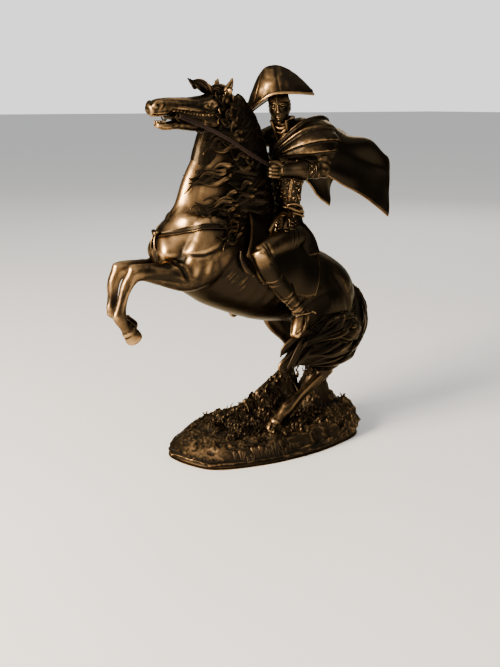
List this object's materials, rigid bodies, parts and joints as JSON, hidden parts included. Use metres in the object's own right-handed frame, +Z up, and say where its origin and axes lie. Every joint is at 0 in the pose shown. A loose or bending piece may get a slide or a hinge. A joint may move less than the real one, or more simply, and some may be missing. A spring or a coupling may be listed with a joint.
{
  "type": "equestrian statuette",
  "caption": "Patinated bronze statuette of a cloaked officer in a two-cornered hat on a rearing horse, over a grassy ground base.",
  "frame": {"origin": "on the underside of the base, below the horse's middle plane and near the base's middle", "axes": "+Z up, the horse heads towards -X, its left side faces -Y"},
  "size_m": [0.355, 0.1473, 0.4199],
  "materials": {
    "bronze": "dark brown patina, rubbed to gold on the high spots",
    "ground_bronze": "dark brown patina, rough",
    "rein_bronze": "matte brown"
  },
  "bodies": {
    "root": {"ground_base": "ground_bronze", "horse_and_rider": "bronze", "near_rein": "rein_bronze", "far_rein": "rein_bronze"}
  },
  "joints": []
}
